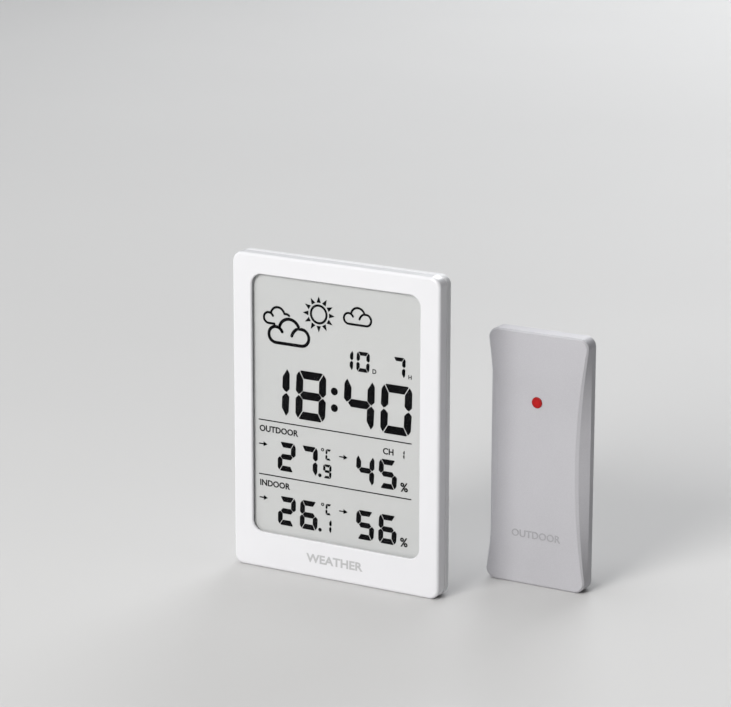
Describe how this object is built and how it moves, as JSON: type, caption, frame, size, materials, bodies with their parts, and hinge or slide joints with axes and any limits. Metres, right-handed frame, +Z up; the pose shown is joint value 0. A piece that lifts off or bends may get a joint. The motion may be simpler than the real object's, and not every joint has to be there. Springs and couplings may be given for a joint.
{
  "type": "tabletop weather station set",
  "caption": "Tabletop weather display with an LCD window, rear keys, battery bay and fold-out foot, with its waisted wireless outdoor sensor standing beside it.",
  "frame": {"origin": "middle of the footprint of the display and its sensor together, on the surface they stand on", "axes": "+X to the right as seen from in front, through the display and then the sensor; +Y from the display's face to its rear; +Z up"},
  "size_m": [0.134, 0.055, 0.124],
  "materials": {
    "bezel_white": "high-gloss moulded",
    "housing_white": "fine spark-eroded texture",
    "clear_lens": "polished clear acrylic",
    "display_glass": "thin display glass",
    "display_grey": "satin reflective film",
    "contact_rubber": "striped conductive silicone",
    "inner_plastic": "plain moulded",
    "circuit_board": "green solder resist",
    "zinc_steel": "zinc plated",
    "black_epoxy": "poured epoxy",
    "bright_can": "drawn metal can",
    "capacitor_sleeve": "shrink sleeve",
    "black_plastic": "moulded",
    "white_ceramic": "moulded grille",
    "copper_wire": "enamelled copper",
    "key_grey": "soft matt",
    "cell_jacket": "printed jacket, plain bands",
    "nickel_steel": "nickel plated",
    "lead_red": "PVC insulation",
    "lead_black": "PVC insulation",
    "sensor_silver": "silver-grey satin paint",
    "lamp_red": "clear red"
  },
  "bodies": {
    "station": {"front_bezel": "bezel_white", "display_window": "clear_lens", "rear_housing": "housing_white", "housing_screws": "zinc_steel", "lcd_glass_front": "display_glass", "lcd_glass_rear": "display_glass", "lcd_reflector": "display_grey", "zebra_strip": "contact_rubber", "lcd_frame": "inner_plastic", "main_board": "circuit_board", "board_screws": "zinc_steel", "main_chip": "black_epoxy", "quartz_crystal": "bright_can", "board_capacitors": "capacitor_sleeve", "buzzer": "black_plastic", "climate_sensor": "white_ceramic", "receiver_module": "circuit_board", "antenna_coil": "copper_wire", "key_switches": "black_plastic", "station_cells": "cell_jacket", "contact_bridge": "nickel_steel", "contact_terminals": "nickel_steel", "contact_springs": "nickel_steel", "battery_lead_red": "lead_red", "battery_lead_black": "lead_black"},
    "stand_foot": {"stand_foot": "housing_white"},
    "battery_cover": {"battery_cover": "housing_white"},
    "key_snooze": {"key_snooze": "key_grey", "plunger_snooze": "black_plastic"},
    "key_mode": {"key_mode": "key_grey", "plunger_mode": "black_plastic"},
    "key_up": {"key_up": "key_grey", "plunger_up": "black_plastic"},
    "key_down": {"key_down": "key_grey", "plunger_down": "black_plastic"},
    "key_channel": {"key_channel": "key_grey", "plunger_channel": "black_plastic"},
    "key_unit": {"key_unit": "key_grey", "plunger_unit": "black_plastic"},
    "sensor_unit": {"sensor_front_shell": "sensor_silver", "sensor_rear_shell": "sensor_silver", "sensor_shell_screws": "zinc_steel", "sensor_led_lens": "lamp_red", "sensor_cells": "cell_jacket", "sensor_plates": "nickel_steel", "sensor_springs": "nickel_steel", "sensor_board": "circuit_board", "sensor_chip": "black_plastic", "sensor_transmitter": "bright_can", "sensor_antenna": "copper_wire", "sensor_humidity_element": "white_ceramic", "sensor_led": "lamp_red", "channel_switch_body": "bright_can", "send_switch_body": "black_plastic"},
    "sensor_battery_cover": {"sensor_battery_cover": "sensor_silver", "sensor_cover_screw": "zinc_steel"},
    "channel_slider": {"channel_slider": "black_plastic"},
    "send_button": {"send_button": "key_grey"}
  },
  "joints": [
    {"name": "foot_fold", "type": "hinge", "parent": "station", "child": "stand_foot", "pos_m": [-0.02195, -0.00772, 0.005], "axis": [1, 0, 0], "range_deg": [0, 95.45]},
    {"name": "battery_cover_slide", "type": "slide", "parent": "station", "child": "battery_cover", "axis": [-1, 0, 0], "range_m": [0, 0.063]},
    {"name": "press_snooze", "type": "slide", "parent": "station", "child": "key_snooze", "axis": [0, -1, 0], "range_m": [0, 0.0004], "stiffness_N_per_m": 300},
    {"name": "press_mode", "type": "slide", "parent": "station", "child": "key_mode", "axis": [0, -1, 0], "range_m": [0, 0.0004], "stiffness_N_per_m": 300},
    {"name": "press_up", "type": "slide", "parent": "station", "child": "key_up", "axis": [0, -1, 0], "range_m": [0, 0.0004], "stiffness_N_per_m": 300},
    {"name": "press_down", "type": "slide", "parent": "station", "child": "key_down", "axis": [0, -1, 0], "range_m": [0, 0.0004], "stiffness_N_per_m": 300},
    {"name": "press_channel", "type": "slide", "parent": "station", "child": "key_channel", "axis": [0, -1, 0], "range_m": [0, 0.0004], "stiffness_N_per_m": 300},
    {"name": "press_unit", "type": "slide", "parent": "station", "child": "key_unit", "axis": [0, -1, 0], "range_m": [0, 0.0004], "stiffness_N_per_m": 300},
    {"name": "sensor_lift", "type": "slide", "parent": "station", "child": "sensor_unit", "axis": [0, 0, 1], "range_m": [0, 0.15]},
    {"name": "sensor_cover_pull", "type": "slide", "parent": "sensor_unit", "child": "sensor_battery_cover", "axis": [0, 1, 0], "range_m": [0, 0.03]},
    {"name": "channel_select", "type": "slide", "parent": "sensor_unit", "child": "channel_slider", "axis": [1, 0, 0], "range_m": [-0.002, 0.002]},
    {"name": "send_press", "type": "slide", "parent": "sensor_unit", "child": "send_button", "axis": [0, -1, 0], "range_m": [0, 0.0003], "stiffness_N_per_m": 300}
  ]
}
